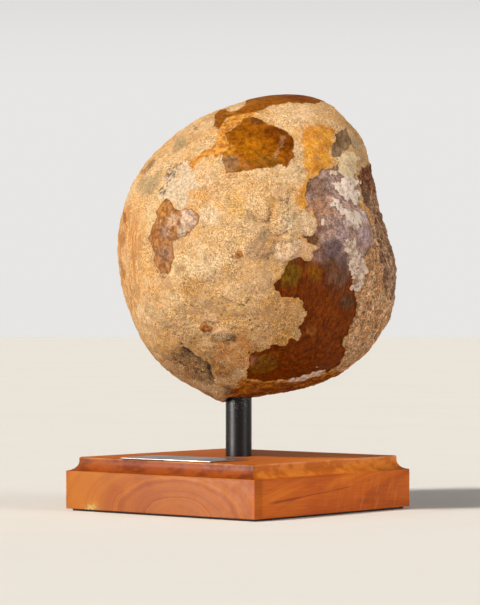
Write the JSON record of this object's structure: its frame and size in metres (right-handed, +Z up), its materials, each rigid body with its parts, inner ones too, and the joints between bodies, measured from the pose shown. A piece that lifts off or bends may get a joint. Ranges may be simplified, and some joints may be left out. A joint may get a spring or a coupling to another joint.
{
  "type": "fossil mammoth femur head on stand",
  "caption": "Fossil ball of a mammoth femur, broken off at the neck, mounted on a round black post in a square wooden base with a cove edge and a bare label plate.",
  "frame": {"origin": "centre of the stand's underside, on the surface that it rests on", "axes": "+Z up along the post; -Y is the front, where the label plate lies; X runs along the front edge of the base"},
  "size_m": [0.1728, 0.161, 0.255],
  "materials": {
    "fossil_bone": "dry cream crust with glossy brown and purple-brown smooth patches and rough broken bone",
    "post_black": "satin black",
    "base_wood": "clear satin varnish on reddish wood",
    "plate_silver": "brushed silver, bare",
    "pad_felt": "matt dark felt"
  },
  "bodies": {
    "root": {"femur_head": "fossil_bone", "post": "post_black", "base": "base_wood", "label_plate": "plate_silver", "base_pad": "pad_felt"}
  },
  "joints": []
}
